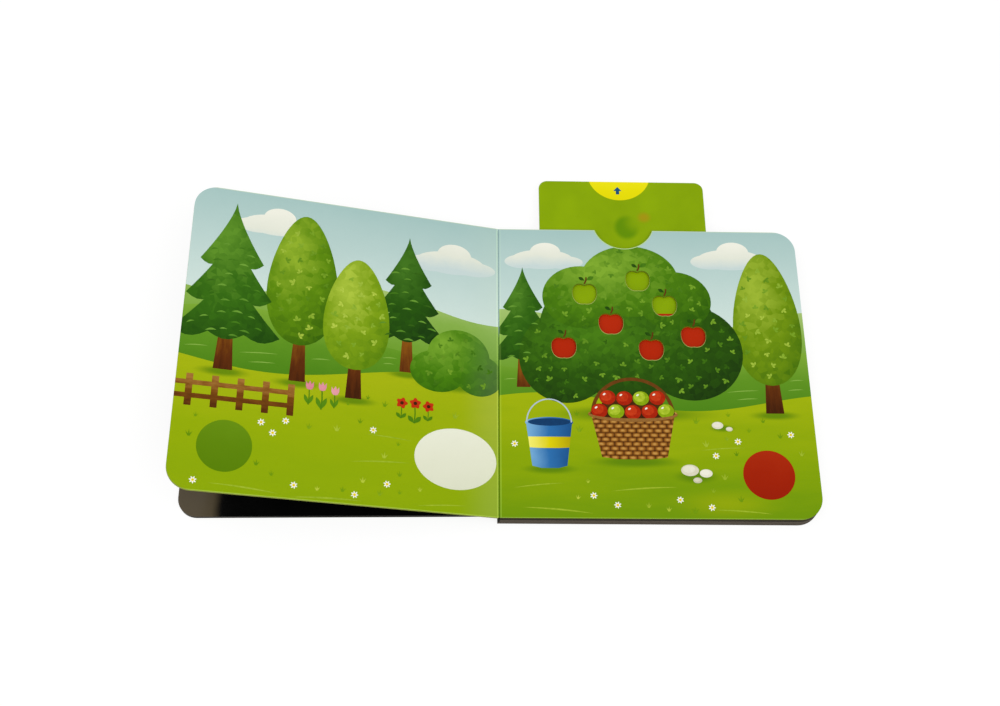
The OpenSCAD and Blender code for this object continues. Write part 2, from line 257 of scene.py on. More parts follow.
@dataclass(frozen=True)
class FilmSheen:
    """Painted sheen and highlights on a page's film, where it is bent or trimmed.

    Each pair is the two ends of a stretch in millimetres, across the book or along the gutter.
    """

    # Stretches, weights and inks of the painted sheen and the painted highlight lines.
    sheen: Pair = (-22.0, -0.5)
    sheen_weight: float = 0.06
    glint_at: float = 0.85
    glint: Pair = (0.12, 0.4)
    glint_weight: float = 0.34
    faint: Pair = (-60.0, 30.0)
    faint_weight: float = 0.35
    foot: Pair = (-83.8, -83.6)
    foot_weight: float = 0.4
    head: Pair = (83.5, 83.75)
    head_weight: float = 0.5
    sheen_ink: str = "#d6e2b4"
    glint_ink: str = "#93ae52"

    def lay(self, tree: Tree, where: Socket, colour: Socket) -> Socket:
        """Lighten a print with painted sheen and highlights where its film is bent or trimmed.

        Args:
            tree: Node tree of the material.
            where: Object coordinates.
            colour: Colour of the print.

        Returns:
            Socket with the lightened colour.
        """
        # Painted light: a sheen towards the gutter and at the head, and highlight lines beside the fold and
        # along the foot.
        across = add_node(tree, "SeparateXYZ", {}, {0: where}, "X")
        along = across.node.outputs["Y"]
        left = add_node(tree, "Math", {"operation": "LESS_THAN", 1: 0.0}, {0: across})
        sheen = self._sheen(tree, across, along, left)
        glint = self._glint(tree, across, along, left)
        colour = add_node(
            tree,
            "Mix",
            {"data_type": "RGBA", OVER: linear(self.sheen_ink)},
            {0: sheen, UNDER: colour},
            MIXED,
        )
        return add_node(
            tree,
            "Mix",
            {"data_type": "RGBA", "blend_type": "ADD", OVER: linear(self.glint_ink)},
            {0: glint, UNDER: colour},
            MIXED,
        )

    def _sheen(self, tree: Tree, across: Socket, along: Socket, left: Socket) -> Socket:
        """Weigh the painted sheen that the left page has towards the gutter, and the painted highlight of
        both pages at the head.

        Args:
            tree: Node tree of the material.
            across: Place across the book.
            along: Place along the gutter.
            left: 1 on the left page.

        Returns:
            Socket with the weight of the painted sheen and highlight.
        """
        soft = add_node(
            tree,
            "MapRange",
            {
                "interpolation_type": "SMOOTHSTEP",
                1: self.sheen[0] * MM,
                2: self.sheen[1] * MM,
                3: 0.0,
                4: self.sheen_weight,
            },
            {0: across},
        )
        soft = add_node(tree, "Math", {"operation": "MULTIPLY"}, {0: soft, 1: left})
        head = add_node(
            tree,
            "MapRange",
            {1: self.head[0] * MM, 2: self.head[1] * MM, 3: 0.0, 4: self.head_weight},
            {0: along},
        )
        return add_node(tree, "Math", {"operation": "MAXIMUM"}, {0: soft, 1: head})

    def _glint(self, tree: Tree, across: Socket, along: Socket, left: Socket) -> Socket:
        """Weigh the painted highlight line beside the gutter, fainter up the right page, and the light line
        along the foot, partly the paper's pale cut edge and partly painted highlight.

        Args:
            tree: Node tree of the material.
            across: Place across the book.
            along: Place along the gutter.
            left: 1 on the left page.

        Returns:
            Socket with the weight of the lines.
        """
        off = add_node(tree, "Math", {"operation": "ABSOLUTE"}, {0: across})
        off = add_node(tree, "Math", {"operation": "SUBTRACT", 1: self.glint_at * MM}, {0: off})
        off = add_node(tree, "Math", {"operation": "ABSOLUTE"}, {0: off})
        line = add_node(
            tree,
            "MapRange",
            {1: self.glint[0] * MM, 2: self.glint[1] * MM, 3: self.glint_weight, 4: 0.0},
            {0: off},
        )
        faint = add_node(
            tree,
            "MapRange",
            {1: self.faint[0] * MM, 2: self.faint[1] * MM, 3: 1.0, 4: self.faint_weight},
            {0: along},
        )
        weight = add_node(tree, "Math", {"operation": "MAXIMUM"}, {0: left, 1: faint})
        line = add_node(tree, "Math", {"operation": "MULTIPLY"}, {0: line, 1: weight})
        foot = add_node(
            tree,
            "MapRange",
            {1: self.foot[0] * MM, 2: self.foot[1] * MM, 3: self.foot_weight, 4: 0.0},
            {0: along},
        )
        return add_node(tree, "Math", {"operation": "MAXIMUM"}, {0: line, 1: foot})


@dataclass(frozen=True)
class LaminatedPrint:
    """Offset print on coated paper, under a clear film."""

    name: str
    stops: Stops
    shade: Shade = Shade.DOWN
    mottle: float = 0.12
    mottle_mm: float = 14.0
    dab: float = 0.0
    dab_mm: float = 3.0
    grain: Pair = (1.0, 1.0)
    on_page: bool = True
    washes: tuple[Wash, ...] = ()
    # Noise keeps to the middle of its range, so it is stretched to reach both ends of the colour run.
    mottle_stretch: float = 2.4
    round_light: Trio = (-0.3, 0.45, 0.0)
    round_reach: float = 1.75

    def build(self, low: Vector, high: Vector) -> bpy.types.Material:
        """Make the material for a field.

        Args:
            low: Lowest corner of the field's box.
            high: Highest corner of the field's box.

        Returns:
            The material, with its colour run fitted to the box.
        """
        # The eye sees soft painted colour runs, mottled and dabbed as with a brush. The dots of the print
        # are too fine to show and are left out.
        material, tree, where = new_material("laminated_print_" + self.name)
        centre = (low + high) / 2
        half = (high - low) / 2
        unit = add_node(
            tree,
            "Mapping",
            {"vector_type": "TEXTURE", "Location": (centre.x, centre.y, 0), "Scale": (half.x, half.y, 1)},
            {"Vector": where},
        )
        stretched = add_node(
            tree, "Mapping", {"Scale": (self.grain[0], self.grain[1], 1)}, {"Vector": where}
        )
        noise = add_node(
            tree,
            "TexNoise",
            {"Scale": 1 / (self.mottle_mm * MM), "Detail": 4.0, "Roughness": 0.6},
            {"Vector": stretched},
            "Fac",
        )
        value = sway(tree, noise, self.mottle_stretch * self.mottle, self._run(tree, unit))
        if self.dab:
            cells = add_node(
                tree,
                "TexVoronoi",
                {"Scale": 1 / (self.dab_mm * MM), "Randomness": 1.0},
                {"Vector": stretched},
                "Color",
            )
            tint = add_node(tree, "SeparateColor", {}, {0: cells})
            value = sway(tree, tint, self.dab, value)
        colour = add_node(tree, "ValToRGB", {"stops": self.stops}, {0: value})
        for wash in self.washes:
            colour = wash.lay(tree, where, colour)
        # Page prints get the film's painted sheen and painted highlights.
        if self.on_page:
            colour = FilmSheen().lay(tree, where, colour)
        ClearFilm().close(tree, where, colour)
        return material

    def _run(self, tree: Tree, unit: Socket) -> Socket:
        """Work out where each point lies on the colour run.

        Args:
            tree: Node tree of the material.
            unit: Place in the field's box, from -1 to 1 each way.

        Returns:
            Socket that gives 0 at the dark end and 1 at the light end.
        """
        if self.shade is Shade.ROUND:
            away = add_node(
                tree, "VectorMath", {"operation": "DISTANCE", 1: self.round_light}, {0: unit}, "Value"
            )
            return add_node(tree, "MapRange", {1: 0.0, 2: self.round_reach, 3: 1.0, 4: 0.0}, {0: away})
        across = add_node(tree, "SeparateXYZ", {}, {0: unit}, "X")
        if self.shade is Shade.SIDE:
            return add_node(tree, "MapRange", {1: -1.0, 2: 1.0, 3: 1.0, 4: 0.0}, {0: across})
        return add_node(
            tree, "MapRange", {1: -1.0, 2: 1.0, 3: 0.0, 4: 1.0}, {0: across.node.outputs["Y"]}
        )


GREYBOARD = "#6e665a"
WHITE_PAPER = "#b8b49c"
BLACK_PAPER = "#0a0a0a"
COVER_GREEN = "#4f7a1a"


@dataclass(frozen=True)
class PressedBoard:
    """Grey pressed board, lined with paper and cut by guillotine."""

    name: str
    core: tuple[str, str]
    face: str = GREYBOARD
    back: str = GREYBOARD
    tilt: float = 0.0
    walls: str = ""
    gloss: float = 0.45
    cut_rough: float = 0.9
    fibre_mm: float = 25 / 3
    ply_mm: float = 0.3125
    relief_mm: float = 0.05
    walls_middle: Trio = (69.8, 31.6, 8.0)
    walls_reach: float = 53.0

    def build(self) -> bpy.types.Material:
        """Make the material, with the cut edge told from the faces by its direction."""
        # The eye sees matt fibrous plies along the cut edge, and smooth paper on the faces.
        material, tree, where = new_material("pressed_board_" + self.name)
        turned = add_node(
            tree,
            "Mapping",
            {
                "Rotation": (0, -self.tilt, 0),
                "Scale": (1 / (self.fibre_mm * MM), 1 / (self.fibre_mm * MM), 1 / (self.ply_mm * MM)),
            },
            {"Vector": where},
        )
        plies = add_node(
            tree, "TexNoise", {"Scale": 1.0, "Detail": 3.0, "Roughness": 0.65}, {"Vector": turned}, "Fac"
        )
        core = add_node(
            tree, "ValToRGB", {"stops": ((0.32, self.core[0]), (0.68, self.core[1]))}, {0: plies}
        )
        if self.walls:
            core = self._window_walls(tree, where, core)
        normal = add_node(tree, "TexCoord", {}, {}, "Normal")
        facing = add_node(
            tree, "Mapping", {"vector_type": "NORMAL", "Rotation": (0, -self.tilt, 0)}, {"Vector": normal}
        )
        up = add_node(tree, "SeparateXYZ", {}, {0: facing}, "Z")
        top = add_node(tree, "Math", {"operation": "GREATER_THAN", 1: UPWARD}, {0: up})
        under = add_node(tree, "Math", {"operation": "LESS_THAN", 1: -UPWARD}, {0: up})
        colour = add_node(
            tree, "Mix", {"data_type": "RGBA", OVER: linear(self.face)}, {0: top, UNDER: core}, MIXED
        )
        colour = add_node(
            tree, "Mix", {"data_type": "RGBA", OVER: linear(self.back)}, {0: under, UNDER: colour}, MIXED
        )
        flat = add_node(tree, "Math", {"operation": "MAXIMUM"}, {0: top, 1: under})
        rough = add_node(tree, "MapRange", {1: 0.0, 2: 1.0, 3: self.cut_rough, 4: self.gloss}, {0: flat})
        bump = add_node(
            tree, "Bump", {"Strength": 0.25, "Distance": self.relief_mm * MM}, {"Height": plies}
        )
        close_shader(
            tree, {"Specular IOR Level": 0.1}, {"Base Color": colour, "Roughness": rough, "Normal": bump}
        )
        return material

    def _window_walls(self, tree: Tree, where: Socket, core: Socket) -> Socket:
        """Colour the walls of the windows, which take up light from the prints around them.

        Args:
            tree: Node tree of the material.
            where: Object coordinates.
            core: Colour of the board's outer cut edge.

        Returns:
            Socket with the colour of the outer edge and the walls.
        """
        middle = tuple(part * MM for part in self.walls_middle)
        far = add_node(tree, "VectorMath", {"operation": "DISTANCE", 1: middle}, {0: where}, "Value")
        near = add_node(tree, "Math", {"operation": "LESS_THAN", 1: self.walls_reach * MM}, {0: far})
        return add_node(
            tree, "Mix", {"data_type": "RGBA", OVER: linear(self.walls)}, {0: near, UNDER: core}, MIXED
        )


@dataclass(frozen=True)
class BlackLining:
    """Lining paper, printed black and laminated with gloss film."""

    name: str = "fore_edge_sheen"
    black: str = "#040404"
    sheen: str = "#504633"
    sheen_from: float = -144.0
    sheen_to: float = -138.0
    wander_mm: float = 4.0
    cloud_mm: float = 12.0
    dust: str = "#8a8478"
    dust_mm: float = 14.0

    def build(self) -> bpy.types.Material:
        """Make the material."""
        # The eye sees a deep black with a sharper gloss than the pages', a painted grey-brown sheen towards
        # the fore edge, and a few specks of dust.
        material, tree, where = new_material("black_lining_" + self.name)
        across = add_node(tree, "SeparateXYZ", {}, {0: where}, "X")
        soft = add_node(
            tree, "TexNoise", {"Scale": 1 / (self.cloud_mm * MM), "Detail": 3.0}, {"Vector": where}, "Fac"
        )
        wander = add_node(
            tree, "Math", {"operation": "MULTIPLY_ADD", 1: self.wander_mm * MM}, {0: soft, 2: across}
        )
        # Painted sheen: the black lightens to grey-brown towards the fore edge.
        sheen = add_node(
            tree,
            "MapRange",
            {
                "interpolation_type": "SMOOTHSTEP",
                1: self.sheen_from * MM,
                2: self.sheen_to * MM,
                3: 1.0,
                4: 0.0,
            },
            {0: wander},
        )
        black_with_sheen = add_node(
            tree,
            "Mix",
            {"data_type": "RGBA", UNDER: linear(self.black), OVER: linear(self.sheen)},
            {0: sheen},
            MIXED,
        )
        cells = add_node(
            tree, "TexVoronoi", {"Scale": 1 / (self.dust_mm * MM)}, {"Vector": where}, "Distance"
        )
        speck = add_node(tree, "MapRange", {1: 0.02, 2: 0.045, 3: 0.25, 4: 0.0}, {0: cells})
        colour = add_node(
            tree, "Mix", {"data_type": "RGBA", OVER: linear(self.dust)}, {0: speck, UNDER: black_with_sheen}, MIXED
        )
        rough = add_node(tree, "MapRange", {1: 0.0, 2: 1.0, 3: 0.16, 4: 0.32}, {0: soft})
        close_shader(tree, {"Specular IOR Level": 0.15}, {"Base Color": colour, "Roughness": rough})
        return material


@dataclass(frozen=True)
class WovenPrint:
    """Offset print of a basket weave, under a clear film."""

    name: str = "basket"
    cane_mm: float = 4.6
    row_mm: float = 2.5
    fleck_mm: float = 1.6
    fleck: float = 0.5
    fullness: float = 0.6
    stops: Stops = ((0.0, "#3a1c04"), (0.35, "#6e4010"), (0.7, "#986222"), (1.0, "#c09048"))

    def build(self) -> bpy.types.Material:
        """Make the material."""
        # The eye sees rows of brown canes, each row half a cane along from the next, with dark gaps.
        material, tree, where = new_material("laminated_print_" + self.name)
        cells = add_node(
            tree,
            "Mapping",
            {"Scale": (1 / (self.cane_mm * MM), 1 / (self.row_mm * MM), 1)},
            {"Vector": where},
        )
        across = add_node(tree, "SeparateXYZ", {}, {0: cells}, "X")
        along = across.node.outputs["Y"]
        row = add_node(tree, "Math", {"operation": "FLOOR"}, {0: along})
        slid = add_node(tree, "Math", {"operation": "MULTIPLY_ADD", 1: 0.5}, {0: row, 2: across})
        swell = self._swell(tree, slid)
        bulge = self._swell(tree, along)
        height = add_node(tree, "Math", {"operation": "MULTIPLY"}, {0: swell, 1: bulge})
        noise = add_node(
            tree, "TexNoise", {"Scale": 1 / (self.fleck_mm * MM), "Detail": 3.0}, {"Vector": where}, "Fac"
        )
        value = sway(tree, noise, self.fleck, height)
        colour = add_node(tree, "ValToRGB", {"stops": self.stops}, {0: value})
        ClearFilm().close(tree, where, colour)
        return material

    def _swell(self, tree: Tree, turns: Socket) -> Socket:
        """Raise each cane's middle over its ends.

        Args:
            tree: Node tree of the material.
            turns: Count of canes along one way.

        Returns:
            Socket that runs from 0 at a cane's ends to 1 at its middle.
        """
        angle = add_node(tree, "Math", {"operation": "MULTIPLY", 1: math.pi}, {0: turns})
        wave = add_node(tree, "Math", {"operation": "SINE"}, {0: angle})
        size = add_node(tree, "Math", {"operation": "ABSOLUTE"}, {0: wave})
        return add_node(tree, "Math", {"operation": "POWER", 1: self.fullness}, {0: size})


@dataclass(frozen=True)
class CardPrint:
    """Offset print of the pull-up card's green, under a clear film."""

    name: str = "card_green"
    stops: Stops = ((0.3, "#7f9e02"), (0.7, "#8cab04"))
    mottle_mm: float = 25.0
    washes: tuple[Wash, ...] = (
        Wash(71.8, 87.0, 8.4, 9.2, "#558600", 0.8, 0.55),
        Wash(77.6, 90.6, 9.4, 9.6, "#84a303", 0.8, 0.1),
        Wash(81.9, 93.7, 5.0, 4.6, "#a88c10", 0.75, 0.2),
    )

    def build(self) -> bpy.types.Material:
        """Make the material."""
        # The eye sees an even green, with one soft round shade where the thumb notch shows it.
        material, tree, where = new_material("laminated_print_" + self.name)
        noise = add_node(
            tree,
            "TexNoise",
            {"Scale": 1 / (self.mottle_mm * MM), "Detail": 3.0},
            {"Vector": where},
            "Fac",
        )
        colour = add_node(tree, "ValToRGB", {"stops": self.stops}, {0: noise})
        for wash in self.washes:
            colour = wash.lay(tree, where, colour)
        ClearFilm().close(tree, where, colour)
        return material


@dataclass(frozen=True)
class MotifInk:
    """Offset ink of small motifs, under a clear film."""

    name: str
    stops: Stops
    fleck_mm: float = 2.0
    fleck: float = 0.35

    def build(self) -> bpy.types.Material:
        """Make the material, which reads each motif's tone from the mesh."""
        # The eye sees motifs that differ from one to the next, each flecked as if painted by hand.
        material, tree, where = new_material("motif_ink_" + self.name)
        tone = add_node(tree, "Attribute", {"attribute_name": "tone"}, {}, "Fac")
        noise = add_node(
            tree, "TexNoise", {"Scale": 1 / (self.fleck_mm * MM), "Detail": 2.0}, {"Vector": where}, "Fac"
        )
        value = sway(tree, noise, self.fleck, tone)
        colour = add_node(tree, "ValToRGB", {"stops": self.stops}, {0: value})
        ClearFilm().close(tree, where, colour)
        return material


def alike(fields: dict[str, tuple[str, ...]], **looks: object) -> dict[str, LaminatedPrint]:
    """Make prints that differ in their colours alone.

    Args:
        fields: Name of the print and its colours, dark to light, by CAD node.
        looks: Settings that they share.

    Returns:
        Finishes by CAD node.
    """
    return {node: LaminatedPrint(name, even(*inks), **looks) for node, (name, *inks) in fields.items()}


# Fields that both pages have, by the node's name after its side.
FIELD_PRINTS = {
    "sky": LaminatedPrint("sky", even("#cddfd8", "#b9d1cc", "#a4c3bf"), mottle=0.1, mottle_mm=34),
    "clouds": LaminatedPrint(
        "cloud", ((0.1, "#c6d6d4"), (0.45, "#e2e5d6"), (0.9, "#eeeee0")), mottle_mm=12
    ),
    "far_hill": LaminatedPrint("far_hill", ((0.0, "#6c9a2c"), (0.55, "#84ac48"), (1.0, "#a4c070"))),
    "near_hill": LaminatedPrint("near_hill", even("#4a8014", "#5c8e1e", "#7ca634")),
    "trunks": LaminatedPrint(
        "bark",
        ((0.0, "#3e1a02"), (0.45, "#5a2a06"), (1.0, "#86500e")),
        mottle=0.4,
        mottle_mm=9,
        grain=(5.0, 0.7),
    ),
}
MEADOW_GRAIN = (0.5, 2.2)
# Fields that one page or the card has, by the node's whole name.
OWN_PRINTS = {
    "left_meadow": LaminatedPrint(
        "left_meadow",
        ((0.0, "#87a302"), (0.45, "#90a802"), (1.0, "#a2b00c")),
        mottle=0.3,
        mottle_mm=40,
        grain=MEADOW_GRAIN,
        washes=(
            Wash(-143, -21.2, 16, 3.4),
            Wash(-106, -23.2, 15, 3.2),
            Wash(-77, -29.2, 15, 3.2),
            Wash(-50, -11.4, 13, 3.0),
            Wash(-24, -15.0, 25, 4.4),
        ),
    ),
    "right_meadow": LaminatedPrint(
        "right_meadow",
        even("#6c9204", "#85a102", "#9cae08"),
        mottle=0.34,
        mottle_mm=40,
        grain=MEADOW_GRAIN,
        washes=(
            Wash(116, -76, 36, 10, "#9caa04", 0.6, 0.0),
            Wash(145, -27.2, 16, 3.2),
            Wash(70, -27.0, 52, 6.0),
            Wash(70, -53.6, 29, 4.2),
            Wash(26, -57.8, 17, 3.4),
            Wash(101, -61.5, 14, 4.6),
            Wash(116.5, -34.6, 8, 2.6),
        ),
    ),
    "left_fence": LaminatedPrint(
        "fence", even("#522a06", "#74440e", "#a07032"), mottle=0.5, mottle_mm=7, grain=(1.0, 3.0)
    ),
    "left_panel": LaminatedPrint("panel", even("#d8dbc2", "#e0e2cb", "#e6e8d4")),
    **alike(
        {
            "left_poplar_far": ("far_poplar", "#345f02", "#5a8608", "#8eae2a"),
            "left_poplar_near": ("near_poplar", "#527c04", "#7a9c12", "#aac23e"),
            "right_poplar": ("right_poplar", "#456e04", "#6c8e0a", "#9ab432"),
            "left_fir_near": ("near_fir", "#1c4606", "#34680e", "#5c8e26"),
            "left_fir_far": ("far_fir", "#143606", "#245208", "#40721c"),
            "right_fir": ("right_fir", "#1a4206", "#2e600c", "#4c7e20"),
            "left_bush": ("left_bush", "#2a5c02", "#447a08", "#76a42c"),
            "right_bush": ("fruit_bush", "#153204", "#295406", "#467a10"),
            "right_bush_top": ("fruit_bush_top", "#2c5a04", "#4a7c0a", "#7ea82e"),
        },
        shade=Shade.ROUND,
        mottle=0.16,
        mottle_mm=9.0,
        dab=0.22,
        dab_mm=3.2,
    ),
    **alike(
        {
            "right_pail": ("pail", "#174a80", "#2c6ca8", "#78aed6"),
            "right_pail_band": ("pail_band", "#ac9a02", "#dacc06", "#f2ec70"),
        },
        shade=Shade.SIDE,
    ),
    **alike(
        {
            "left_spot": ("green_spot", "#557c00", "#5b8203", "#638a0c"),
            "right_spot": ("red_spot", "#941a00", "#9c1f01", "#a62806"),
        },
        mottle=0.2,
    ),
    **alike(
        {
            "slider_red": ("card_red", "#a61d02", "#ae2303", "#b62a08"),
            "slider_tab": ("card_yellow", "#e2d802", "#e7dd04", "#ece212"),
            "slider_arrow": ("card_arrow", "#124a72", "#165079", "#1e5a84"),
        },
        on_page=False,
    ),
}


def dress(node: str, material: bpy.types.Material) -> None:
    """Give a CAD node a material in place of its own.

    Args:
        node: Name of the CAD node.
        material: Finish to put on it.
    """
    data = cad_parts[node].data
    data.materials.clear()
    data.materials.append(material)
    LOG.info("dressed %s with %s", node, material.name)


@dataclass
class BoardsAndCovers:
    """Boards, turned leaf, covers and spine, with the nodes that share each finish."""

    finishes: tuple[tuple[tuple[str, ...], PressedBoard | BlackLining], ...] = (
        (("page_block",), PressedBoard("grey_core", ("#3f382f", "#61584d"))),
        # The rear board and slide frame have darker cut edges.
        (("rear_board", "slide_frame"), PressedBoard("dark_core", ("#1e1a12", "#37322a"))),
        (("face_board",), PressedBoard("page_face", ("#3a380e", "#5c581e"), WHITE_PAPER, walls="#7c8a1c")),
        (("slider_card",), PressedBoard("card", ("#b4b09a", "#d8d4c0"), "#d8d4c0", "#dcd8c8")),
        (
            ("left_leaf",),
            PressedBoard("turned_leaf", ("#76822e", "#a2ae50"), WHITE_PAPER, BLACK_PAPER, LEAF_LIFT),
        ),
        (("front_cover",), PressedBoard("front_cover", ("#16130e", "#2a261e"), BLACK_PAPER, COVER_GREEN)),
        (("back_cover",), PressedBoard("back_cover", ("#3d362d", "#5f564c"), GREYBOARD, COVER_GREEN)),
        (("spine",), PressedBoard("spine", ("#10100e", "#1c1c18"), "#161614", "#161614")),
        (("front_lining",), BlackLining()),
    )

    def dress(self) -> None:
        """Put the board and cover finishes on their CAD nodes."""
        for nodes, finish in self.finishes:
            material = finish.build()
            for node in nodes:
                dress(node, material)


@dataclass
class PrintedPages:
    """Printed fields of the two pages and the card."""

    def dress(self) -> None:
        """Put each printed field's finish on its CAD node."""
        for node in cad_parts:
            finish = OWN_PRINTS.get(node) or FIELD_PRINTS.get(node.partition("_")[2])
            if finish:
                dress(node, finish.build(*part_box(node)))
        dress("right_basket", WovenPrint().build())
        dress("slider_green", CardPrint().build())


@dataclass
class GutterFold:
    """Printed paper that runs down into the fold between the two pages, in millimetres."""

    start: float = -0.32
    end: float = 0.34
    deep: float = 0.12
    thick: float = 0.2
    lip: float = 0.2
    dip: float = 0.08
    # Page colours along the gutter, darkened as painted shade of the crease.
    stops: Stops = (
        (0.0, "#587c04"),
        (0.38, "#668406"),
        (0.41, "#34600e"),
        (0.5, "#427018"),
        (0.6, "#668f3c"),
        (0.66, "#a2bdb8"),
        (1.0, "#93b1b0"),
    )

    def build(self) -> None:
        """Model the fold as a shallow trough and print it in the colours of the pages beside it, darkened
        as painted shade of the crease.
        """
        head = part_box("right_sky")[1]
        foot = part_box("right_meadow")[0]
        bpy.ops.object.select_all(action="DESELECT")
        bpy.ops.mesh.primitive_cube_add(size=1)
        fold = bpy.context.object
        fold.name = "gutter_fold"
        fold.scale = ((self.end - self.start) * MM, head.y - foot.y, self.thick * MM)
        fold.location = (
            (self.start + self.end) / 2 * MM,
            (head.y + foot.y) / 2,
            head.z - (self.deep + self.thick / 2) * MM,
        )
        bpy.ops.object.transform_apply(location=True, rotation=True, scale=True)
        self._press(fold)
        fold.data.materials.append(self._print(foot.y, head.y))
        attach(fold, "block")
        LOG.info("modelled gutter_fold")

    def _press(self, fold: bpy.types.Object) -> None:
        """Press the middle of the fold's upper face down between its two lips.

        Args:
            fold: Strip of paper, selected and active.
        """
        bpy.ops.object.mode_set(mode="EDIT")
        bpy.ops.mesh.select_mode(type="FACE")
        bpy.ops.mesh.select_all(action="DESELECT")
        bpy.ops.object.mode_set(mode="OBJECT")
        for face in fold.data.polygons:
            face.select = face.normal.z > UPWARD
        bpy.ops.object.mode_set(mode="EDIT")
        bpy.ops.mesh.inset(thickness=self.lip * MM)
        bpy.ops.transform.translate(value=(0, 0, -self.dip * MM))
        bpy.ops.object.mode_set(mode="OBJECT")

    def _print(self, foot: float, head: float) -> bpy.types.Material:
        """Make the print of the fold, with painted shade of the crease.

        Args:
            foot: Lower end of the pages along Y.
            head: Upper end of the pages along Y.

        Returns:
            The material.
        """
        # The eye sees the pages' meadow, hills and sky run on into the fold, darker than beside it as
        # painted shade of the crease.
        material, tree, where = new_material("laminated_print_gutter_fold")
        along = add_node(tree, "SeparateXYZ", {}, {0: where}, "Y")
        place = add_node(tree, "MapRange", {1: foot, 2: head, 3: 0.0, 4: 1.0}, {0: along})
        colour = add_node(tree, "ValToRGB", {"stops": self.stops}, {0: place})
        ClearFilm().close(tree, where, colour)
        return material


@dataclass(frozen=True)
class Stamp:
    """Place of one copy of a motif, in millimetres from the gutter and the page's mid-height."""

    x: float
    y: float
    size: float
    turn: float = 0.0
    tone: float = 0.5
    squash: float = 1.0


@dataclass(frozen=True)
class Oval:
    """Oval stretch of a page, in millimetres."""

    x: float
    y: float
    half_w: float
    half_h: float

    def holds(self, x: float, y: float) -> bool:
        """Tell whether a point lies in the oval."""
        return ((x - self.x) / self.half_w) ** 2 + ((y - self.y) / self.half_h) ** 2 < 1


def leaf_outline() -> Points:
    """Draw a pointed leaf from its stalk at the origin to its tip one unit along X."""
    lower = [(i / 6, -0.34 * math.sin(math.pi * i / 6) * (i / 6) ** 0.45) for i in range(7)]
    return lower + [(x, -y) for x, y in reversed(lower[1:-1])]


def bough_outline() -> Points:
    """Draw a drooping fir bough, one unit wide and thin at both ends."""
    across = [i / 8 - 0.5 for i in range(9)]
    lower = [(x, -0.9 * x * x - 0.2 * (1 - 4 * x * x)) for x in across]
    return lower + [(x, -0.9 * x * x) for x in reversed(across[1:-1])]


def round_outline(petals: int = 0, wave: float = 0.0, sides: int = 32) -> Points:
    """Draw a disc or a flower of unit radius.

    Args:
        petals: Count of petals, or none for a disc.
        wave: Depth of the notches between petals.
        sides: Count of points.

    Returns:
        Points of the outline.
    """
    angles = [2 * math.pi * i / sides for i in range(sides)]
    reach = [1 - wave * (1 - math.cos(petals * a)) / 2 for a in angles]
    return [(r * math.cos(a), r * math.sin(a)) for r, a in zip(reach, angles)]


def band_outline(half_w: float, half_h: float, width: float, start: float, end: float) -> Points:
    """Draw a band that follows part of an oval.

    Args:
        half_w: Half the width of the oval's outer line.
        half_h: Half the height of the oval's outer line.
        width: Width of the band.
        start: Angle in degrees at which it starts.
        end: Angle in degrees at which it ends.

    Returns:
        Points of the outline.
    """
    angles = [math.radians(start + (end - start) * i / 24) for i in range(25)]
    outer = [(half_w * math.cos(a), half_h * math.sin(a)) for a in angles]
    inner = [((half_w - width) * math.cos(a), (half_h - width) * math.sin(a)) for a in reversed(angles)]
    return outer + inner


TUFT = [(-0.46, 0.74), (-0.16, 0.0), (0.16, 0.0), (0.5, 0.68), (0.12, 0.32), (0.03, 1.0), (-0.1, 0.32)]
STEM = [(-0.03, 0.0), (0.03, 0.0), (0.06, 0.5), (0.03, 1.0), (-0.02, 1.0), (0.0, 0.5)]
TULIP = [
    (0.0, -0.55), (0.3, -0.45), (0.44, -0.1), (0.42, 0.45), (0.2, 0.12),
    (0.0, 0.55), (-0.2, 0.12), (-0.42, 0.45), (-0.44, -0.1), (-0.3, -0.45),
]


@dataclass(frozen=True)
class WindowRimHighlight:
    """Painted highlight on the pressed rim of a fruit-shaped window, in millimetres from the window's
    middle and in degrees.
    """

    half_w: float = 7.25
    half_h: float = 6.7
    square_w: float = 0.82
    square_h: float = 0.86
    taper: float = 0.08
    dip_half: float = 5.22
    top_dip: float = 1.3
    foot_dip: float = 0.455
    start: float = -215.0
    step: float = 6.25
    steps: int = 40
    clear: float = 0.02
    thin: float = 0.03
    width: float = 0.24
    ease: float = 0.07

    def outline(self) -> Points:
        """Draw the rim's painted highlight along the sides and the foot of the window, outside its cut,
        thin at both ends.
        """
        angles = [math.radians(self.start + self.step * i) for i in range(self.steps + 1)]
        inner = [self._cut(angle, self.clear) for angle in angles]
        outer = []
        for i, angle in enumerate(angles):
            share = min(1.0, self.ease * i, self.ease * (self.steps - i))
            outer.append(self._cut(angle, self.width * share + self.thin))
        return outer + inner[::-1]

    def _cut(self, angle: float, grow: float) -> Pair:
        """Find a point on the outline of the window.

        Args:
            angle: Angle of the point in radians.
            grow: Distance outside the cut in millimetres.

        Returns:
            Place from the window's middle in millimetres.
        """
        c, s = math.cos(angle), math.sin(angle)
        reach = (self.half_w + grow) * math.copysign(abs(c) ** self.square_w, c)
        x = reach * (1 - self.taper * (1 - s))
        near = max(0.0, 1 - abs(x) / self.dip_half)
        dip = self.top_dip if s > 0 else -self.foot_dip
        rise = (self.half_h + grow) * math.copysign(abs(s) ** self.square_h, s)
        return x, rise - dip * near * near


